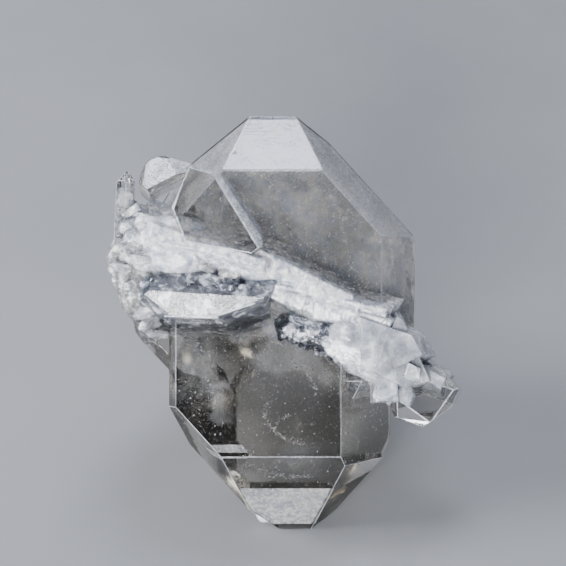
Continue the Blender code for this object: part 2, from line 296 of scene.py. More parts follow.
clearLook = {
    "roughness": 0.0,
    "smoke": {"Color": toLinear("#d0ccc3"), "Density": 100.0},  # the density is per metre
    "growthLines": (0.12, 0.12, 2.6),  # lines lie across the prism, about 0.25 mm apart
    "lineDepth": 0.01,  # mm
    "skinDepth": 0.024,  # mm
    "etchedRoughness": 0.22,
    # darker in the pits, as painted shade, lighter on the flats
    "etchedShadesDarkInPits": ("#a9b0c0", "#eceff6", "#fafbfe"),  # from the pits to the flats
    "pitsPerMm": 5.0,
    "pitDepth": 0.05,  # mm
}


def clearQuartz():
    # water-clear growth faces: sharp reflections, faint growth lines across the prism,
    # and enough smoke in a long path for the windows to read dark
    material, tree = newMaterial("clear quartz, natural growth faces")
    spot = objectInMillimetres(tree)
    across = addNode(
        tree, "VectorMath", {"operation": "MULTIPLY", 1: clearLook["growthLines"]}, {0: spot}
    )
    lines = addNode(tree, "TexNoise", {"Scale": 1.6, "Detail": 3.0, "Roughness": 0.6}, {"Vector": across})
    skin = addNode(tree, "TexNoise", {"Scale": 0.9, "Detail": 5.0, "Roughness": 0.6}, {"Vector": spot})
    lined = addNode(tree, "Bump", {"Distance": millimetre * clearLook["lineDepth"]}, {"Height": lines})
    uneven = addNode(
        tree, "Bump", {"Distance": millimetre * clearLook["skinDepth"]}, {"Height": skin, "Normal": lined}
    )
    shader = addNode(
        tree, "BsdfPrincipled",
        {
            "Base Color": (1, 1, 1, 1),
            "Roughness": clearLook["roughness"],
            "IOR": stand["refraction"],
            "Transmission Weight": 1.0,
        },
        {"Normal": uneven},
    )
    smoke = addNode(tree, "VolumeAbsorption", clearLook["smoke"])
    addNode(tree, "OutputMaterial", links={"Surface": shader, "Volume": smoke})
    return material


def frostedQuartz():
    # the same crystal where its faces are etched: a fine matt skin that holds the light, its tint darker in
    # the pits as painted shade
    material, tree = newMaterial("clear quartz, etched faces")
    spot = objectInMillimetres(tree)
    pits = addNode(
        tree, "TexNoise",
        {"Scale": clearLook["pitsPerMm"], "Detail": 4.0, "Roughness": 0.7}, {"Vector": spot},
    )
    clouds = addNode(tree, "TexNoise", {"Scale": 0.9, "Detail": 3.0}, {"Vector": spot})
    # the tint follows the pits' depth: painted shade in the pits
    tint = addNode(
        tree, "ValToRGB", links={"Fac": pits}, stops=zip((0.44, 0.5, 0.6), clearLook["etchedShadesDarkInPits"])
    )
    clearness = addNode(tree, "ValToRGB", links={"Fac": clouds}, stops=[(0.3, 0.5), (0.7, 0.18)])
    pitted = addNode(
        tree, "Bump", {"Distance": millimetre * clearLook["pitDepth"], "Strength": 0.6}, {"Height": pits}
    )
    shader = addNode(
        tree, "BsdfPrincipled",
        {"Roughness": clearLook["etchedRoughness"], "IOR": stand["refraction"]},
        {"Base Color": tint, "Transmission Weight": clearness, "Normal": pitted},
    )
    smoke = addNode(tree, "VolumeAbsorption", clearLook["smoke"])
    addNode(tree, "OutputMaterial", links={"Surface": shader, "Volume": smoke})
    return material


def milkyQuartz(look):
    # healed, bubble-filled quartz: bluish white with greyer, glassier patches and a broken,
    # glittering skin; shades run from the glassy patches to the whitest ones
    material, tree = newMaterial(look["name"])
    spot = objectInMillimetres(tree)
    patches = addNode(
        tree, "TexNoise",
        {"Scale": look["cloudsPerMm"], "Detail": 6.0, "Roughness": 0.62, "Distortion": 0.4},
        {"Vector": spot},
    )
    tint = addNode(tree, "ValToRGB", links={"Fac": patches}, stops=zip((0.36, 0.48, 0.6), look["shades"]))
    cells = addNode(tree, "TexVoronoi", {"feature": "F1", "Scale": look["facetsPerMm"]}, {"Vector": spot})
    grain = addNode(tree, "TexNoise", {"Scale": 1.9, "Detail": 8.0, "Roughness": 0.7}, {"Vector": spot})
    faceted = addNode(
        tree, "Bump", {"Distance": 0.0014 * look["relief"], "Strength": 0.8},
        {"Height": cells.outputs["Distance"]},
    )
    grainy = addNode(
        tree, "Bump", {"Distance": 0.0018 * look["relief"], "Strength": 0.9},
        {"Height": grain, "Normal": faceted},
    )
    wear = addNode(tree, "TexNoise", {"Scale": 2.2, "Detail": 4.0}, {"Vector": spot})
    dull = addNode(
        tree, "ValToRGB", links={"Fac": wear},
        stops=[(0.38, 0.3 * look["roughness"]), (0.66, look["roughness"])],
    )
    links = {"Base Color": tint, "Roughness": dull, "Normal": grainy}
    clearest = look["clearness"]
    if clearest:
        links["Transmission Weight"] = addNode(
            tree, "ValToRGB", links={"Fac": patches},
            stops=[(0.38, clearest), (0.52, 0.8 * clearest), (0.62, 0.25 * clearest)],
        )
    shader = addNode(
        tree, "BsdfPrincipled",
        {
            "IOR": stand["refraction"],
            "Subsurface Weight": look["bleed"],
            "Subsurface Radius": (1.0, 1.05, 1.15),
            "Subsurface Scale": 0.0012,  # light spreads about a millimetre under the skin
        },
        links,
    )
    addNode(tree, "OutputMaterial", links={"Surface": shader})
    return material


looks = {"clear": clearQuartz(), "frosted": frostedQuartz()}
rhomb = stand["rhomb"]
suture = slabNormal(21, 90)  # up across the thread, whose plane it is
lowerTop = 0.1  # mm above that plane, where the lower tablet ends
upperTablet = [  # azimuth and rise in degrees, distance in mm, as in facePlanes
    (0, 0, 0.0), (60, 0, 10.7), (120, -2.5, 19.1), (180, 0, 15.0), (240, 0, 17.5), (300, 0, 11.6),
    (0, rhomb, 8.8), (60, rhomb, 12.2), (120, rhomb, 18.6), (180, rhomb, 17.7), (240, rhomb, 22.4),
    (300, rhomb, 14.0), (0, -rhomb, 7.6), (60, -rhomb, 14.3), (120, -rhomb, 20.7), (180, -rhomb, 19.0),
    (240, -rhomb, 18.3), (300, -rhomb, 12.0),
]
lowerTablet = [
    (0, 0, 0.9), (60, 0, 6.7), (120, 0, 17.9), (180, 0, 15.0), (240, 0, 12.8), (300, 0, 12.0),
    (0, -rhomb, 14.1), (60, -rhomb, 19.4), (120, -rhomb, 26.75), (180, -rhomb, 25.8), (240, -rhomb, 22.9),
    (300, -rhomb, 19.0),
]
windowMiddle = (-8.5, 0.0, 9.75)
windowFaces = [  # bearing and tilt in degrees, distance in mm
    (20, 4, 2.5), (17, 62, 4.15), (17, 88, 3.9), (56, 45, 3.05), (56, 72, 3.0), (56, 92, 3.25),
    (72, 80, 4.55), (104, 84, 7.2), (143, 80, 8.0), (190, 80, 5.6), (-111, 78, 5.4),
    (-70, 66, 5.2), (-66, 88, 4.75), (0, 180, 5.0),
]
# the white film under this face is a painted highlight on a face turned from the lamps
highlightedBevel = 3  # the one of those faces that holds the white film


def clearShell():
    # every clear crystal, grown together into one
    return growTogether([
        tablet("clear_crystals", facePlanes(upperTablet)),
        tablet("lower tablet", facePlanes(lowerTablet) + [(suture, lowerTop)]),
        slab("tablet behind the ledge", (-12.9, 6.0, -2.1), (
            (0, 0, 4.5), (-114, 72, 7.0), (-133, 64, 7.25), (-133, 92, 7.35), (-101, 84, 6.8), (-35, 80, 6.0),
            (40, 84, 8.0), (113, 80, 7.0), (180, 80, 9.5), (0, 180, 6.5), (-130, 135, 9.0),
        )),
        quartzPoint("left prop", (-6.4, 12.0, -4.5), (-0.2, 0.86, -0.47), 4.7, 21.5, 8.0, 0.8, 14, 0.06),
        quartzPoint("right prop", (7.2, 12.0, -4.0), (0.2, 0.84, -0.5), 4.1, 21.2, 8.0, 0.9, 40, 0.03),
        quartzPoint("back point", (-1.0, 13.5, -1.5), (-0.05, 1.0, 0.25), 3.1, 7.0, 6.0, 0.8, 25, 0.05),
        quartzPoint("back point", (-13.5, 8.5, 2.5), (-0.5, 0.9, 0.3), 2.6, 7.0, 6.0, 1.0, 8, 0.05),
        quartzPoint("back point", (12.8, 10.0, 0.5), (0.35, 0.9, 0.45), 2.3, 6.0, 6.0, 0.9, 52, 0.05),
        quartzPoint("back point", (-17.0, 7.0, -2.5), (-0.55, 0.8, -0.35), 2.1, 5.6, 5.0, 1.0, 33, 0.05),
        quartzPoint("back point", (4.2, 12.6, 2.4), (0.2, 1.0, 0.1), 2.0, 5.0, 5.0, 0.85, 3, 0.05),
        slab("tail crystal", (18.4, 4.0, -14.4), (
            (150, 14, 2.2), (130, 46, 2.75), (205, 50, 3.2), (28, 50, 3.1), (29, 82, 3.85), (48, 84, 3.7),
            (27, 88, 3.9), (115, 78, 3.4), (145, 84, 2.95), (201, 82, 3.9), (-102, 84, 4.3), (-67, 86, 4.6),
            (0, 180, 3.2), (90, 140, 3.9), (180, 140, 3.6),
        ), 0.11, 1),
        etchFaces(
            slab("window crystal", windowMiddle, windowFaces, 0.12, 1),
            [slabNormal(56, 45), slabNormal(56, 72), slabNormal(-70, 66), slabNormal(17, 62)],
        ),
        etchFaces(slab("rounded crystal", (-15.0, 1.0, 13.5), (
            (0, 12, 2.3), (-30, 38, 2.75), (40, 35, 2.6), (-73, 62, 3.0), (-41, 66, 2.85), (-22, 70, 2.7),
            (10, 66, 2.65), (-85, 88, 2.9), (-60, 88, 2.6), (-33, 88, 2.5), (-8, 88, 2.4), (15, 88, 2.37),
            (107, 82, 3.0), (149, 60, 2.0), (151, 84, 1.45), (-138, 80, 3.1), (0, 180, 3.6),
            (0, 135, 4.0),
        )), [slabNormal(0, 12), slabNormal(-30, 38), slabNormal(40, 35), slabNormal(0, 180)]),
        quartzPoint("small point", (-19.9, 0.8, 9.6), (0.06, -0.12, 1.0), 1.15, 4.5, 4.0, 1.0, 12, 0.04),
    ])


def notchCutter():
    # the three-cornered gap between the window crystal and the rounded one
    return slab("notch", (-14.65, -3.0, 11.0), (
        (-28, 90, 0.7), (84, 90, 1.1), (178, 90, 1.0), (-118, 90, 0.75), (0, 0, 6.0), (0, 180, 5.6),
    ), 0)


def wearFeet(whole):
    # the standing tips are worn flat where they meet the table
    down = Matrix.Rotation(math.radians(stand["leanBack"]), 4, "X") @ Vector((0, 0, -1))
    height = stand["origin"][2]
    makeActive(whole)
    bpy.ops.object.mode_set(mode="EDIT")
    bpy.ops.mesh.select_all(action="SELECT")
    bpy.ops.mesh.bisect(
        plane_co=down * height, plane_no=down, use_fill=True, clear_outer=True, threshold=nearEnough
    )
    bpy.ops.object.mode_set(mode="OBJECT")


crystals = clearShell()
boolean(crystals, notchCutter(), "DIFFERENCE")
wearFeet(crystals)
finishPiece(crystals, None)
print("clear crystals:", len(crystals.data.polygons), "faces")

threadLook = {
    "grain": 0.13,  # mm between mesh points
    "crackDepth": 0.13,  # mm
    "partingDepth": 0.34,  # mm
    "waves": 0.04,  # mm, the uneven icy skin
    "name": "faden thread, dense white healed quartz",
    "shades": ("#c3cada", "#e9ecf4", "#fdfdff"),
    "roughness": 0.28,
    "facetsPerMm": 1.7,
    "relief": 0.018,  # mm
    "clearness": 0.42,
    "bleed": 0.4,
    "cloudsPerMm": 1.1,
}


def threadRibs():
    shapes = [
        ("milky ridge far left", (-12.6, 0.4, 5.0), (
            (16, 14, 3.0), (18, 62, 2.3), (-72, 70, 4.8), (108, 78, 4.2), (188, 50, 2.5), (0, 180, 3.0),
        )),
        ("milky ridge left", (-6.2, 0.4, 3.3), (
            (20, 12, 3.15), (22, 62, 2.2), (-74, 78, 4.6), (112, 66, 5.0), (196, 54, 2.3), (0, 180, 3.0),
        )),
        ("upper rib left", (0.4, 0.6, 1.2), (
            (24, 8, 2.15), (26, 72, 1.75), (-60, 75, 5.0), (110, 70, 4.6), (194, 60, 1.9), (0, 180, 3.0),
        )),
        ("upper rib middle", (6.0, 0.6, -1.45), (
            (22, 6, 1.95), (26, 74, 1.5), (-75, 80, 4.6), (104, 75, 3.1), (194, 62, 1.5), (0, 180, 3.0),
        )),
        ("upper rib right", (11.2, 0.6, -3.15), (
            (18, 6, 2.25), (14, 70, 0.95), (-76, 85, 3.9), (118, 72, 2.2), (194, 62, 1.15), (0, 180, 3.0),
        )),
        ("lower rib left", (1.8, 0.6, -2.4), (
            (200, 10, 1.6), (15, 80, 1.9), (-80, 70, 4.4), (100, 80, 3.2), (208, 62, 1.7), (0, 180, 3.0),
        )),
        ("lower rib middle", (6.6, 0.6, -3.8), (
            (196, 8, 1.95), (14, 82, 1.9), (-84, 80, 3.1), (106, 72, 3.0), (188, 58, 1.75), (0, 180, 3.0),
        )),
        ("lower rib right", (11.2, 0.6, -5.3), (
            (196, 10, 1.5), (14, 82, 1.6), (-76, 82, 3.4), (112, 72, 2.4), (197, 55, 1.6), (0, 180, 3.0),
        )),
    ]
    ribs = [slab(name, centre, faces, 0.12) for name, centre, faces in shapes]
    thread = joinPieces("thread", [growTogether(ribs)])
    remesh = thread.modifiers.new("even mesh", "REMESH")
    remesh.mode = "VOXEL"
    remesh.voxel_size = threadLook["grain"]
    makeActive(thread)
    bpy.ops.object.modifier_apply(modifier=remesh.name)
    along = slabNormal(21 + 90, 90)
    thread.data.update()
    shifts = []
    for vertex in thread.data.vertices:
        spot = vertex.co
        reach = along.dot(spot)
        # short cracks straight across the thread, and an uneven icy skin
        warp = 0.8 * noise.noise(spot * 0.7)
        crack = abs(noise.noise(Vector((reach * 0.9 + warp, 4.0, 0.5)))) ** 0.6
        cut = -threadLook["crackDepth"] * max(0.0, 1.0 - 4.5 * crack)
        skin = threadLook["waves"] * (noise.noise(spot * 0.9) + 0.5 * noise.noise(spot * 2.4))
        fine = 0.3 * threadLook["waves"] * noise.noise(Vector((reach * 5.0, spot.y * 1.5, spot.z * 1.5)))
        # the dark line that parts the upper rib from the lower one
        offLine = spot.z + 1.0 + 0.26 * (spot.x - 0.4)
        groove = -threadLook["partingDepth"] * math.exp(-((offLine / 0.2) ** 2))
        groove *= min(1.0, max(0.0, spot.x + 0.5)) * max(0.0, -vertex.normal.y)
        shifts.append(vertex.normal * (cut + skin + fine + groove))
    for vertex, shift in zip(thread.data.vertices, shifts):
        vertex.co += shift
    return thread


milkyLook = {
    "name": "milky quartz, healed growth",
    "shades": ("#b9c0d0", "#e1e5ee", "#f8f9fc"),
    "roughness": 0.4,
    "facetsPerMm": 2.2,
    "relief": 0.025,  # mm
    "clearness": 0.3,
    "bleed": 0.4,
    "cloudsPerMm": 0.8,
    "bodies": [  # middle, half sizes, roll, height and size of the swells, in mm
        ((-14.0, 3.0, 4.6), (6.6, 5.2, 4.3), 14.0, 0.62, 3.0),
        ((-5.4, 2.2, 2.4), (6.0, 4.2, 2.5), 24.0, 0.4, 2.8),
        ((-18.8, 2.6, 7.4), (2.2, 2.6, 2.6), 0.0, 0.4, 1.8),
        ((-19.8, 1.5, 9.3), (1.0, 1.1, 2.7), 2.0, 0.2, 1.2),
    ],
}


druseLook = {
    "name": "grey drusy quartz, half clear",
    "shades": ("#a1a4a6", "#c0c2c3", "#e0e1e1"),
    "roughness": 0.34,
    "facetsPerMm": 2.2,
    "relief": 0.04,  # mm
    "clearness": 0.65,
    "bleed": 0.3,
    "cloudsPerMm": 0.8,
    "bodies": [
        ((-17.6, 4.6, 0.2), (3.7, 4.6, 4.6), -14.0, 0.7, 2.4),
        ((-19.9, 4.0, 2.6), (2.1, 3.4, 2.4), 0.0, 0.45, 1.8),
    ],
}


def roughMass(name, look):
    bodies = [roughBody(name, *sizes) for sizes in look["bodies"]]
    return joinPieces(name, [growTogether(bodies)])


thread = finishPiece(threadRibs(), milkyQuartz(threadLook), 32)
print("thread:", len(thread.data.polygons), "faces")
milky = roughMass("milky_mass", milkyLook)
boolean(milky, notchCutter(), "DIFFERENCE")
finishPiece(milky, milkyQuartz(milkyLook), 40)
druse = finishPiece(roughMass("left_druse", druseLook), milkyQuartz(druseLook), 40)
print("milky mass, left druse:", len(milky.data.polygons), len(druse.data.polygons), "faces")


def edgeAt(height):
    # how far left the mass reaches at a height
    bulge = 1.6 * math.exp(-(((height - 2.6) / 2.0) ** 2))
    return -21.3 - bulge + 0.44 * max(0.0, 0.5 - height) ** 1.05


crustLook = {
    "name": "drusy quartz, small glassy points",
    "shades": ("#f4f6fb", "#eef0f7", "#fdfdfe"),
    "roughness": 0.24,
    "facetsPerMm": 2.2,
    "relief": 0.025,  # mm
    "clearness": 0.85,
    "bleed": 0.3,
    "cloudsPerMm": 0.7,
    "crags": 60,
    "cragSize": (0.5, 1.15),  # mm
    "points": 70,
    "pointRadius": (0.32, 0.85),  # mm
    "pointLength": (1.4, 1.9),  # radii
    "pointFlat": (0.75, 1.1),
    "pointBuried": 2.0,  # mm
}


def crustPieces():
    # crags on the mass, and points along its far left edge
    pieces = []
    for _ in range(crustLook["crags"]):
        along = random.uniform(0.0, 1.0)
        middle = Vector((-19.6 + 15.5 * along, -1.0, 0.0))
        middle.z = 6.4 - 3.9 * along + random.uniform(-3.6, 2.4) * (1.0 - 0.35 * along)
        middle.y += random.uniform(-0.3, 1.0)
        pieces.append(crag("crag", middle, random.uniform(*crustLook["cragSize"]), (1.4, 0.85, 0.75)))
    for step in range(crustLook["points"]):
        height = 9.2 - 16.3 * step / (crustLook["points"] - 1)
        depth = random.uniform(-0.8, 7.5)
        base = Vector((edgeAt(height) * (1.0 + depth / 190.0) + 1.4, depth, height))
        base.x += 0.045 * (depth - 2.5) ** 2
        towards = Vector((-1.0, random.uniform(-0.9, 0.5), random.uniform(-0.9, 0.5)))
        pieces.append(tinyPoint("druse point", crustLook, base, towards))
    return joinPieces("drusy_crust", pieces)


ledgeLook = {
    "name": "glassy quartz ledge, greyish and half clear",
    "shades": ("#8b92a3", "#b2b8c6", "#e2e6ee"),
    "roughness": 0.2,
    "facetsPerMm": 1.3,
    "relief": 0.012,  # mm
    "clearness": 0.95,
    "bleed": 0.2,
    "cloudsPerMm": 0.5,
    "wornEdge": 0.1,  # mm
    "points": 80,
    "pointRadius": (0.22, 0.5),  # mm
    "pointLength": (0.7, 1.1),  # radii
    "pointFlat": (0.7, 1.1),
    "pointBuried": 1.4,  # mm
}


def ledgePieces():
    # a flat crystal lying across the front, its back edge roughened by small points
    pieces = [slab("ledge", (-10.4, 0.0, -2.1), (
        (4, 58, 3.35), (180, 12, 4.7), (180, 75, 3.1), (-143, 72, 4.7), (-154, 80, 4.2), (-76, 80, 7.2),
        (-43, 76, 6.0), (24, 84, 6.0), (112, 78, 8.2), (160, 72, 3.9), (0, 180, 6.0),
    ), ledgeLook["wornEdge"])]
    for step in range(ledgeLook["points"]):
        base = Vector((-16.8 + 11.6 * step / (ledgeLook["points"] - 1), 0.0, random.uniform(-0.9, 0.8)))
        base.y = (0.846 * (base.z + 2.1) - 3.35) / 0.53 + random.uniform(0.1, 0.5)
        towards = Vector((random.uniform(-1.0, 0.9), random.uniform(-0.9, -0.1), random.uniform(0.0, 1.0)))
        pieces.append(tinyPoint("ledge point", ledgeLook, base, towards))
    return joinPieces("ledge", pieces)


cuffLook = {
    "name": "icy quartz cuff, clouded growth below the thread",
    "shades": ("#b9bec9", "#d0d4dd", "#e9ecf2"),
    "roughness": 0.3,
    "facetsPerMm": 1.5,
    "relief": 0.012,  # mm
    "clearness": 0.5,
    "bleed": 0.35,
    "cloudsPerMm": 0.4,
    "crags": 14,
    "cragSize": (0.3, 0.6),  # mm
}


def cuffPieces():
    pieces = [
        roughBody("cuff", (10.4, 1.4, -8.6), (6.6, 3.3, 3.4), 27.0, 0.24, 3.4),
        slab("cuff face", (12.4, 0.4, -8.6), (
            (50, 13, 2.3), (20, 80, 3.4), (-90, 76, 3.2), (60, 72, 4.4), (150, 74, 3.0), (195, 70, 3.4),
            (0, 180, 4.0),
        )),
        slab("cuff right", (15.0, 1.4, -9.2), (
            (62, 26, 2.3), (36, 80, 3.9), (66, 84, 2.0), (-60, 80, 3.4), (160, 78, 4.2), (205, 76, 4.0),
            (0, 180, 5.0),
        )),
        slab("rounded tooth", (16.0, 0.2, -11.3), (
            (0, 10, 1.9), (60, 40, 1.9), (-60, 40, 1.9), (180, 40, 1.8), (30, 80, 1.3), (95, 82, 1.2),
            (160, 80, 1.2), (215, 80, 1.3), (-80, 80, 1.3), (0, 180, 3.0),
        ), 0.15),
        slab("second tooth", (12.9, -0.2, -13.6), (
            (0, 12, 1.5), (150, 50, 1.5), (210, 50, 1.5), (90, 82, 1.5), (180, 82, 1.2), (-90, 82, 1.4),
            (10, 80, 2.5), (0, 180, 3.0),
        )),
        quartzPoint("tooth", (15.2, 1.4, -12.6), (0.22, -0.35, -1.0), 1.0, 3.2, 2.5, 1.0, 20, 0.04),
        quartzPoint("tooth", (13.5, 1.6, -12.8), (-0.1, -0.25, -1.0), 0.75, 2.7, 2.5, 1.0, 41, 0.04),
        quartzPoint("tooth", (12.1, 0.9, -12.9), (-0.2, -0.3, -1.0), 0.6, 2.3, 2.5, 1.0, 5, 0.04),
        slab("ridge on the tail", (17.4, 3.4, -11.9), (
            (30, 22, 1.9), (29, 74, 1.7), (48, 80, 3.0), (112, 72, 3.3), (200, 40, 1.7), (198, 80, 1.3),
            (-70, 80, 3.2), (0, 180, 3.0),
        ), 0.1),
    ]
    for step in range(cuffLook["crags"]):
        middle = Vector((1.0 + 14.5 * step / (cuffLook["crags"] - 1), -1.2, 0.0))
        middle.z = -4.9 - 0.36 * middle.x + random.uniform(-1.3, 0.6)
        middle.y += random.uniform(-0.2, 0.9)
        pieces.append(crag("cuff crag", middle, random.uniform(*cuffLook["cragSize"]), (1.2, 0.85, 0.9)))
    return joinPieces("cuff", pieces)


fringeLook = {
    "name": "glassy quartz fringe, half clear and full of glints",
    "shades": ("#8b92a3", "#b2b8c6", "#e2e6ee"),
    "roughness": 0.2,
    "facetsPerMm": 2.0,
    "relief": 0.02,  # mm
    "clearness": 0.95,
    "bleed": 0.2,
    "cloudsPerMm": 0.7,
    "points": 64,
    "pointRadius": (0.18, 0.42),  # mm
    "pointLength": (1.0, 1.5),  # radii
    "pointFlat": (0.7, 1.1),
    "pointBuried": 1.0,  # mm
}


def fringePieces():
    # the half clear growth where the thread meets the lower tablet, set with tiny points
    pieces = [roughBody("fringe", (3.6, 0.6, -6.2), (4.8, 2.0, 1.9), 14.0, 0.22, 2.8)]
    for step in range(fringeLook["points"]):
        base = Vector((-0.6 + 9.0 * step / (fringeLook["points"] - 1), -0.9, 0.0))
        base.z = -5.4 - 0.36 * base.x + random.uniform(-1.9, 0.5)
        base.y += random.uniform(-0.1, 0.7)
        towards = Vector((random.uniform(-0.8, 0.8), -1.0, random.uniform(-0.9, 0.6)))
        pieces.append(tinyPoint("fringe point", fringeLook, base, towards))
    return joinPieces("glassy_fringe", pieces)


crust = finishPiece(crustPieces(), milkyQuartz(crustLook))
fringe = finishPiece(fringePieces(), milkyQuartz(fringeLook))
print("glassy fringe:", len(fringe.data.polygons), "faces")
ledge = finishPiece(ledgePieces(), milkyQuartz(ledgeLook))
cuff = finishPiece(cuffPieces(), milkyQuartz(cuffLook))
print("drusy crust:", len(crust.data.polygons), "faces")
print("ledge, cuff:", len(ledge.data.polygons), len(cuff.data.polygons), "faces")


def fleckGlint():
    # minute fluid-filled cracks: thin bright flakes that flash white against the dark
    material, tree = newMaterial("healed cracks, thin mirror-like films")
    spot = objectInMillimetres(tree)
    patches = addNode(tree, "TexNoise", {"Scale": 1.3, "Detail": 3.0}, {"Vector": spot})
    tint = addNode(
        tree, "ValToRGB", links={"Fac": patches}, stops=zip((0.35, 0.55, 0.7), fleckLook["shades"])
    )
    shader = addNode(tree, "BsdfPrincipled", {"Roughness": 0.3, "IOR": 1.33}, {"Base Color": tint})
    addNode(tree, "OutputMaterial", links={"Surface": shader})
    return material


fleckLook = {
    "shades": ("#c9cfdd", "#f0f2f8", "#ffffff"),
    "count": 14000,
    "deep": 0.35,  # mm, the least depth under a face
    "sizes": (0.05, 0.06, 0.08, 0.1, 0.1, 0.16),  # mm
    "crackSizes": (0.06, 0.09, 0.12, 0.2),  # mm
    "perMm": 26,  # flakes on each millimetre of a feathery crack
    "cracks": [
        [(-1.9, 3.0, -14.9), (-2.4, 3.2, -16.9), (-1.2, 3.6, -18.6), (0.4, 4.0, -19.7), (2.6, 4.6, -20.4)],
        [(-1.3, 3.4, -18.5), (-0.2, 3.6, -17.2), (0.9, 4.0, -16.6)],
        [(3.0, 3.0, -11.2), (3.7, 3.1, -12.6), (4.2, 3.2, -13.8)],
        [(-9.6, 3.0, -11.6), (-9.0, 3.2, -13.4), (-8.7, 3.6, -15.2)],
        [(-11.0, 2.6, -7.0), (-10.4, 2.8, -8.6)],
        [(-4.8, 5.0, -21.8), (-2.4, 5.4, -22.6), (0.4, 5.8, -23.6), (3.6, 6.0, -23.2)],
        [(4.6, 3.4, -6.0), (5.6, 3.6, -7.6), (5.4, 4.0, -9.2)],
        [(8.6, 4.0, 9.4), (7.4, 4.4, 7.6), (8.0, 4.6, 5.0)],
        [(13.0, 3.4, 5.4), (13.4, 3.6, 3.6), (13.2, 3.8, 2.0)],
        [(-2.0, 3.6, 6.0), (0.4, 3.8, 4.6), (3.0, 4.0, 3.4)],
        [(2.0, 3.2, 1.9), (5.0, 3.4, 0.6), (7.6, 3.6, 0.0)],
    ],
}


upperRoom = facePlanes(upperTablet, fleckLook["deep"])
lowerRoom = facePlanes(lowerTablet, fleckLook["deep"])


def inside(spot):
    # in the tablet on its own side of the thread, clear of the faces
    room = upperRoom if suture.dot(spot) > lowerTop else lowerRoom
    return all(normal.dot(spot) <= distance for normal, distance in room)


def strewFlakes(name, places):
    # one flake is modelled: an eight-faced grain, pressed flat. Thousands of copies as objects
    # would be slow, so its corners and faces are repeated into one mesh
    ways = [Vector((x, y, z)).normalized() for x in (-1, 1) for y in (-1, 1) for z in (-1, 1)]
    flake = cutBlock("flake", [(way, 0.5) for way in ways], size=3.0)
    shape = [vertex.co.copy() for vertex in flake.data.vertices]
    sides = [tuple(face.vertices) for face in flake.data.polygons]
    bpy.data.objects.remove(flake, do_unlink=True)
    corners, faces = [], []
    for spot, size in places:
        aim = randomNormal().to_track_quat("Z", "Y").to_matrix()
        turn = aim @ Matrix.Rotation(random.uniform(0, math.tau), 3, "Z")
        stretch = Vector((size, size * random.uniform(0.25, 1.0), 0.12 * size))
        first = len(corners)
        corners += [spot + turn @ (corner * stretch) for corner in shape]
        faces += [tuple(first + corner for corner in side) for side in sides]
    mesh = bpy.data.meshes.new(name)
    mesh.from_pydata(corners, [], faces)
    piece = bpy.data.objects.new(name, mesh)
    bpy.context.scene.collection.objects.link(piece)
    return piece


def fleckPlaces():
    # flecks crowd towards the thread and drift in patches
    places = []
    while len(places) < fleckLook["count"]:
        spot = Vector((random.uniform(-15, 16.5), random.uniform(0.5, 14.5), random.uniform(-31, 21)))
        distance = suture.dot(spot)
        density = math.exp(-abs(distance) / 5.0) * 0.9 + 0.06
        density *= 0.35 + 1.6 * max(0.0, noise.noise(spot * 0.22 + Vector((3, 1, 8))) + 0.15)
        if random.random() > density:
            continue
        if inside(spot):
            near = 1.0 + 0.9 * math.exp(-abs(distance) / 2.5)  # the largest lie by the thread
            places.append((spot, near * random.choice(fleckLook["sizes"]) * random.uniform(0.7, 1.3)))
    return places


def crackPlaces():
    # ragged healed cracks: flakes strewn along a few bent lines
    places = []
    for line in fleckLook["cracks"]:
        for start, end in zip(line, line[1:]):
            start, end = Vector(start), Vector(end)
            for _ in range(int(fleckLook["perMm"] * (end - start).length)):
                spot = start.lerp(end, random.random())
                spread = 0.1 + 0.4 * abs(noise.noise(spot * 1.3))
                spot += Vector((random.gauss(0, spread), random.gauss(0, 0.3), random.gauss(0, spread)))
                if inside(spot):
                    places.append((spot, random.choice(fleckLook["crackSizes"])))
    return places


zoneLook = {
    "name": "healed zone inside, dense veils",
    "shades": ("#c9cede", "#dfe3ee", "#f1f3f9"),
    "roughness": 0.6,
    "facetsPerMm": 1.6,
    "relief": 0.1,  # mm
    "clearness": 0.0,
    "bleed": 0.0,
    "cloudsPerMm": 0.55,
    "above": 1.5,  # mm either side of the suture
    "below": 1.3,
    "swell": 0.5,  # mm
    "longestEdge": 1.3,  # mm, longer ones are split
}


def healedZone():
    # the thread runs right through the tablets: a dense sheet along the suture, back to front
    zone = cutBlock("healed_zone", [
        (suture, zoneLook["above"]), (-suture, zoneLook["below"]), (crystalNormal(0, 0), -0.9),
        (crystalNormal(180, 0), 14.4), (crystalNormal(60, 0), 10.2), (crystalNormal(120, -2.5), 17.5),
        (crystalNormal(240, 0), 12.3), (crystalNormal(300, 0), 11.2),
    ])
    makeActive(zone)
    bpy.ops.object.mode_set(mode="EDIT")
    bpy.ops.mesh.select_all(action="SELECT")
    bpy.ops.mesh.quads_convert_to_tris()
    for _ in range(5):
        bpy.ops.mesh.select_all(action="DESELECT")
        bpy.ops.mesh.select_mode(type="EDGE")
        bpy.ops.object.mode_set(mode="OBJECT")
        for edge in zone.data.edges:
            ends = [zone.data.vertices[v].co for v in edge.vertices]
            edge.select = (ends[0] - ends[1]).length > zoneLook["longestEdge"]
        bpy.ops.object.mode_set(mode="EDIT")
        bpy.ops.mesh.subdivide(number_cuts=1)
    bpy.ops.mesh.select_all(action="SELECT")
    bpy.ops.mesh.quads_convert_to_tris()
    bpy.ops.object.mode_set(mode="OBJECT")
    for vertex in zone.data.vertices:
        side = 1 if suture.dot(vertex.co) > lowerTop else -1
        rough = noise.noise(vertex.co * 0.5) + 0.6 * noise.noise(vertex.co * 1.4)
        vertex.co += suture * side * zoneLook["swell"] * rough
    return zone


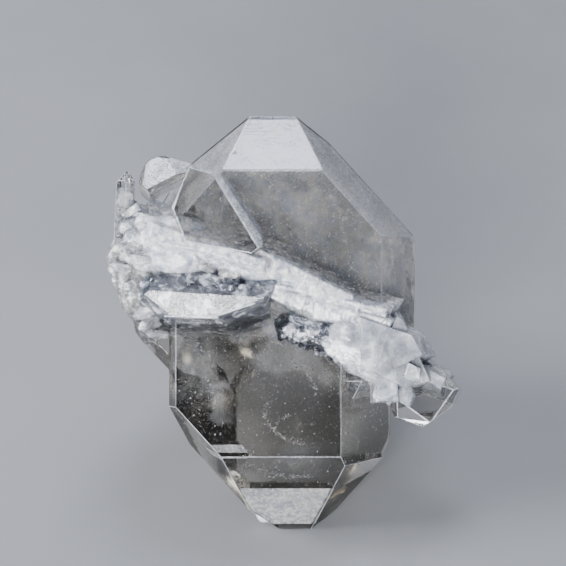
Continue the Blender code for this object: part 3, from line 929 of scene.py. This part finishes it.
veilLook = {
    "tints": ("#dbe2f3", "#fdfdff"),
    "haze": (0.26, 0.56),  # cover of a thin and of a thick veil
    "dustPerMm": 3.2,
    "gridSize": 52,  # mm
    "gridSteps": 50,
    "thickness": 0.02,  # mm
    "deep": 0.4,  # mm under the faces
    "sheets": [  # middle, tilts, wave height in mm, whether it lies above the thread
        ((0, 4.5, 5), 10, 8, 2.6, True),
        ((2, 8.5, 5), -14, -10, 3.0, True),
        ((0, 12.0, 5), 6, 4, 1.8, True),
        ((0, 4.0, -8), -8, 6, 2.2, False),
        ((0, 9.0, -8), 12, -12, 3.0, False),
    ],
    "clouds": [  # middle (x, z) and half sizes in mm, cover
        ((1.4, 10.4), (6.4, 3.2), 0.3),
        ((7.4, 1.2), (5.4, 3.4), 0.26),
        ((12.2, 8.0), (3.4, 4.8), 0.2),
        ((-10.8, -9.6), (4.4, 7.8), 0.2),
        ((-8.2, -14.4), (1.5, 3.4), 0.18),
        ((1.5, -6.2), (9.0, 2.4), 0.2),
        ((7.5, -12.5), (0.9, 5.0), 0.16),
        ((2.4, -21.0), (5.0, 1.6), 0.1),
    ],
}


def veilHaze():
    # veils of tiny inclusions: blue-grey haze, thick by the thread and in clouds, thinning to nothing
    material, tree = newMaterial("veils of fine inclusions, blue-grey haze")
    spot = objectInMillimetres(tree)
    across = addNode(tree, "VectorMath", {"operation": "DOT_PRODUCT", 1: tuple(suture)}, {0: spot})
    nearby = addNode(
        tree, "MapRange",
        {"From Min": -12.0, "From Max": -3.0, "To Min": -0.24, "To Max": 0.1},
        {"Value": across.outputs["Value"]},
    )
    patches = addNode(
        tree, "TexNoise", {"Scale": 0.2, "Detail": 3.0, "Roughness": 0.5, "Distortion": 0.5},
        {"Vector": spot},
    )
    thick = addNode(tree, "Math", {"operation": "ADD"}, {0: patches, 1: nearby})
    haze = addNode(
        tree, "ValToRGB", links={"Fac": thick},
        stops=[(0.36, 0.0), (0.56, veilLook["haze"][0]), (0.8, veilLook["haze"][1])],
    )
    dust = addNode(
        tree, "TexNoise", {"Scale": veilLook["dustPerMm"], "Detail": 3.0, "Roughness": 0.7},
        {"Vector": spot},
    )
    specks = addNode(tree, "ValToRGB", links={"Fac": dust}, stops=[(0.54, 0.0), (0.63, 1.0)])
    dusty = addNode(tree, "ValToRGB", links={"Fac": thick}, stops=[(0.4, 0.1), (0.62, 0.75)])
    grains = addNode(tree, "Math", {"operation": "MULTIPLY"}, {0: specks, 1: dusty})
    cover = addNode(tree, "Math", {"operation": "MAXIMUM"}, {0: haze, 1: grains})
    wisps = addNode(tree, "TexNoise", {"Scale": 0.5, "Detail": 5.0, "Roughness": 0.6}, {"Vector": spot})
    for (x, z), (wide, tall), thickest in veilLook["clouds"]:
        offset = addNode(tree, "VectorMath", {"operation": "SUBTRACT", 1: (x, 0, z)}, {0: spot})
        scaled = addNode(
            tree, "VectorMath", {"operation": "MULTIPLY", 1: (1 / wide, 0, 1 / tall)}, {0: offset}
        )
        away = addNode(tree, "VectorMath", {"operation": "LENGTH"}, {0: scaled})
        ragged = addNode(
            tree, "Math", {"operation": "MULTIPLY_ADD", 1: 1.4}, {0: wisps, 2: away.outputs["Value"]}
        )
        cloud = addNode(
            tree, "MapRange",
            {"interpolation_type": "SMOOTHSTEP", "From Min": 1.7, "From Max": 0.7, "To Max": thickest},
            {"Value": ragged},
        )
        cover = addNode(tree, "Math", {"operation": "ADD"}, {0: cover, 1: cloud})
    spread = addNode(tree, "TexNoise", {"Scale": 0.9, "Detail": 4.0}, {"Vector": spot})
    tint = addNode(tree, "ValToRGB", links={"Fac": spread}, stops=zip((0.35, 0.65), veilLook["tints"]))
    shader = addNode(
        tree, "BsdfPrincipled", {"Roughness": 0.9, "IOR": 1.02}, {"Base Color": tint, "Alpha": cover}
    )
    addNode(tree, "OutputMaterial", links={"Surface": shader})
    return material


def veil(centre, turnX, turnZ, wave, upper):
    # one wavy healed crack through a tablet, kept a little inside its faces and off the thread
    deep = veilLook["deep"]
    if upper:
        planes = facePlanes(upperTablet, deep) + [(-suture, -2 * deep)]
    else:
        planes = facePlanes(lowerTablet, deep) + [(suture, lowerTop - deep)]
    steps = veilLook["gridSteps"]
    deselectAll()
    bpy.ops.mesh.primitive_grid_add(x_subdivisions=steps, y_subdivisions=steps, size=veilLook["gridSize"])
    sheet = bpy.context.object
    sheet.name = sheet.data.name = "veil"
    turn = Matrix.Rotation(math.radians(turnZ), 4, "Z") @ Matrix.Rotation(math.radians(90 + turnX), 4, "X")
    place(sheet, turn, centre)
    offset = Vector((random.uniform(0, 50), 0, 0))
    for vertex in sheet.data.vertices:
        swell = noise.noise(vertex.co * 0.12 + offset) + 0.3 * noise.noise(vertex.co * 0.45 + offset)
        vertex.co.y += wave * swell
    bpy.ops.object.mode_set(mode="EDIT")
    for normal, distance in planes:
        bpy.ops.mesh.select_all(action="SELECT")
        bpy.ops.mesh.bisect(
            plane_co=normal * distance, plane_no=normal, clear_outer=True, threshold=nearEnough
        )
    bpy.ops.object.mode_set(mode="OBJECT")
    body = sheet.modifiers.new("thin body", "SOLIDIFY")
    body.thickness = veilLook["thickness"]
    makeActive(sheet)
    bpy.ops.object.modifier_apply(modifier=body.name)
    return sheet


paintedSheenHazeLook = {
    # cover and near-white tints set high for painted sheen on the termination's faces
    "cover": (0.62, 0.95),  # least and most
    "tints": ("#dfe3f0", "#fdfdff"),
    "faces": [(0, 8.8), (60, 12.2), (300, 14.0)],  # azimuth, distance in mm
    "below": (0.35, 0.4),  # mm under a face, top and bottom
    "fromEdges": 0.3,  # mm
}


def paintedSheenHaze():
    # an even lavender-grey haze of inclusions under the last growth, made whiter and denser than that:
    # painted sheen, so faces turned from the top lamp read as light as the top face that mirrors it
    material, tree = newMaterial("fine inclusions under the last growth, lavender haze")
    spot = objectInMillimetres(tree)
    patches = addNode(
        tree, "TexNoise", {"Scale": 0.35, "Detail": 5.0, "Roughness": 0.6}, {"Vector": spot}
    )
    grains = addNode(tree, "TexNoise", {"Scale": 3.4, "Detail": 3.0, "Roughness": 0.7}, {"Vector": spot})
    broad = addNode(tree, "ValToRGB", links={"Fac": patches}, stops=zip((0.3, 0.7), paintedSheenHazeLook["cover"]))
    fine = addNode(tree, "ValToRGB", links={"Fac": grains}, stops=[(0.4, 0.7), (0.62, 1.0)])
    cover = addNode(tree, "Math", {"operation": "MULTIPLY"}, {0: broad, 1: fine})
    tint = addNode(tree, "ValToRGB", links={"Fac": grains}, stops=zip((0.35, 0.6), paintedSheenHazeLook["tints"]))
    shader = addNode(
        tree, "BsdfPrincipled", {"Roughness": 0.9, "IOR": 1.02}, {"Base Color": tint, "Alpha": cover}
    )
    addNode(tree, "OutputMaterial", links={"Surface": shader})
    return material


def paintedSheenVeils():
    # a thin haze just under the upper termination's faces, partly painted sheen
    pieces = []
    for azimuth, distance in paintedSheenHazeLook["faces"]:
        facing = crystalNormal(azimuth, rhomb)
        top, bottom = paintedSheenHazeLook["below"]
        others = [face for face in upperTablet if face[:2] != (azimuth, rhomb)]
        planes = [(facing, distance - top), (-facing, -(distance - bottom))]
        pieces.append(cutBlock("sheen haze veil", planes + facePlanes(others, paintedSheenHazeLook["fromEdges"])))
    return joinPieces("sheen_haze_veils", pieces)


whiteFilmAndHighlightLook = {
    "name": "white films, healed cracks and painted highlights",
    "shades": ("#d3d8e4", "#f2f4f9", "#ffffff"),
    "roughness": 0.35,
    "facetsPerMm": 3.0,
    "relief": 0.02,  # mm
    "clearness": 0.4,
    "bleed": 0.0,
    "cloudsPerMm": 0.9,
    # the film under the window's bevel is a painted highlight
    "bevelHighlightFilm": (0.16, 0.26),  # mm under the window crystal's face, top and bottom
}


def growthTriangle(spot, azimuth, distance, size):
    # the small triangle that quartz grows on a termination face, as a film just under it
    facing = crystalNormal(azimuth, rhomb)
    side = Vector((0, 0, 1)).cross(facing).normalized()
    planes = [(facing, distance - 0.05), (-facing, 0.15 - distance)]
    for turn in (90, 210, 330):
        way = side * math.cos(math.radians(turn)) + facing.cross(side) * math.sin(math.radians(turn))
        planes.append((way, way.dot(Vector(spot)) + size))
    return cutBlock("growth triangle", planes)


def filmsAndPaintedHighlights():
    # flat white films just under the faces: under the lower termination's front face, a painted highlight by
    # its left edge, a growth triangle on the upper one, the ledge's front rim, and a painted highlight under
    # the window crystal's bevel
    lowerFace = crystalNormal(0, -rhomb)
    top, bottom = whiteFilmAndHighlightLook["bevelHighlightFilm"]
    bearing, tilt, distance = windowFaces[highlightedBevel]
    bevelBack = (bearing + 180, 180 - tilt, bottom - distance)
    return joinPieces("films_and_painted_highlights", [
        # a painted highlight on the window's bevel, which faces away from the lamps
        slab("painted highlight under the window's bevel", windowMiddle, [
            (bearing, tilt, distance - top) for bearing, tilt, distance in windowFaces
        ] + [bevelBack], 0),
        growthTriangle((-6.3, 1.8, 16.8), 300, 14.0, 0.3),
        growthTriangle((-2.2, 0.0, 16.6), 0, 8.8, 0.16),
        cutBlock("film under the lower face", [
            (lowerFace, 13.5), (-lowerFace, -13.2), (Vector((0, 0, 1)), -25.9),
            (crystalNormal(60, -rhomb), 18.8), (crystalNormal(300, -rhomb), 18.3),
            (crystalNormal(60, 0), 6.0), (crystalNormal(300, 0), 11.0), (crystalNormal(180, -rhomb), 24.9),
        ]),
        # a painted highlight by the lower termination's left edge
        slab("painted highlight patch", (-6.9, 1.9, -20.8), (
            (0, 12, 0.1), (0, 168, 0.1), (4, 90, 0.55), (180, 90, 0.5), (56, 90, 1.75), (-124, 90, 1.75),
        ), 0),
        slab("rim of the ledge", (-11.3, -4.2, -4.1), (
            (0, 0, 0.2), (0, 180, 0.9), (1, 90, 0.1), (182, 90, 0.14), (60, 90, 2.9), (-68, 90, 3.0),
        ), 0.05),
        slab("rim of the ledge, right", (-5.9, -4.35, -3.25), (
            (0, 0, 0.22), (0, 180, 0.9), (-20, 90, 0.12), (162, 90, 0.12), (70, 90, 2.6), (-110, 90, 2.8),
        ), 0.05),
    ])


glints = fleckGlint()
flecks = finishPiece(strewFlakes("flecks", fleckPlaces()), glints)
feathers = finishPiece(strewFlakes("feather_cracks", crackPlaces()), glints)
zone = finishPiece(healedZone(), milkyQuartz(zoneLook))
# the haze under the termination, partly painted sheen
finishPiece(paintedSheenVeils(), paintedSheenHaze())
# white films, two of them painted highlights
finishPiece(filmsAndPaintedHighlights(), milkyQuartz(whiteFilmAndHighlightLook))
haze = finishPiece(joinPieces("veils", [veil(*sheet) for sheet in veilLook["sheets"]]), veilHaze())
print("healed zone, veils:", len(zone.data.polygons), len(haze.data.polygons), "faces")
print("flecks, feathery cracks:", len(flecks.data.polygons), len(feathers.data.polygons), "faces")

studio = {
    "floor": ("#8f9196", "#939599"),
    "sky": ("#4c4e53", "#6f7278", "#eef1f8"),
    "skyStrength": 0.5,
    "boxes": [  # name, place, aim, size in metres, watts, colour
        ("top softbox", (0.0, 0.181, 0.382), (0, 0.012, 0.04), (0.13, 0.11), 0.45, "#e9edff"),
        ("front softbox", (-0.16, -0.52, 0.17), (0, 0, 0.03), (0.34, 0.2), 5.2, "#ffffff"),
        ("left softbox", (-0.4, 0.02, 0.3), (0, 0, 0.03), (0.2, 0.2), 2.0, "#ffffff"),
        ("back softbox", (0.3, 0.5, 0.26), (0, 0, 0.03), (0.3, 0.2), 0.9, "#ffffff"),
    ],
    "cameraPlace": (0.00007, -0.14518, 0.14962),
    "cameraTilt": 50,  # degrees up from straight down
    "lens": 95.41,  # mm, on a film this wide
    "film": 36,
    "nearest": 0.005,  # metres
}


def floorBoard():
    # a plain pale matt board, its tone a little uneven as card is
    material, tree = newMaterial("plain pale matt board")
    coords = addNode(tree, "TexCoord")
    mottle = addNode(
        tree, "TexNoise", {"Scale": 30.0, "Detail": 3.0, "Roughness": 0.55},
        {"Vector": coords.outputs["Object"]},
    )
    tone = addNode(tree, "ValToRGB", links={"Fac": mottle}, stops=zip((0.3, 0.7), studio["floor"]))
    shader = addNode(tree, "BsdfPrincipled", {"Roughness": 0.75}, {"Base Color": tone})
    addNode(tree, "OutputMaterial", links={"Surface": shader})
    return material


def softbox(name, spot, aimAt, size, power, colour):
    deselectAll()
    bpy.ops.object.light_add(type="AREA", location=spot)
    lamp = bpy.context.object
    lamp.name = lamp.data.name = name
    lamp.data.shape = "RECTANGLE"
    lamp.data.size, lamp.data.size_y = size
    lamp.data.energy = power
    lamp.data.color = toLinear(colour)[:3]
    lamp.rotation_euler = (Vector(aimAt) - Vector(spot)).to_track_quat("-Z", "Y").to_euler()


deselectAll()
bpy.ops.mesh.primitive_plane_add(size=4, location=(0, 0, 0))
floor = bpy.context.object
floor.name = floor.data.name = "floor"
floor.data.materials.append(floorBoard())
for box in studio["boxes"]:
    softbox(*box)

world = bpy.data.worlds.new("soft studio")
bpy.context.scene.world = world
world.use_nodes = True
world.node_tree.nodes.clear()
coords = addNode(world.node_tree, "TexCoord")
height = addNode(world.node_tree, "SeparateXYZ", links={0: coords.outputs["Generated"]})
sky = addNode(
    world.node_tree, "ValToRGB", links={"Fac": height.outputs["Z"]},
    stops=zip((0.0, 0.35, 1.0), studio["sky"]),
)
background = addNode(world.node_tree, "Background", {"Strength": studio["skyStrength"]}, {"Color": sky})
addNode(world.node_tree, "OutputWorld", links={"Surface": background})

deselectAll()
bpy.ops.object.camera_add(
    location=studio["cameraPlace"], rotation=(math.radians(studio["cameraTilt"]), 0, 0)
)
camera = bpy.context.object
camera.data.lens = studio["lens"]
camera.data.sensor_width = studio["film"]
camera.data.clip_start = studio["nearest"]
bpy.context.scene.camera = camera
bpy.context.scene.view_settings.look = "AgX - Medium High Contrast"
print("floor, lights and camera are in place")
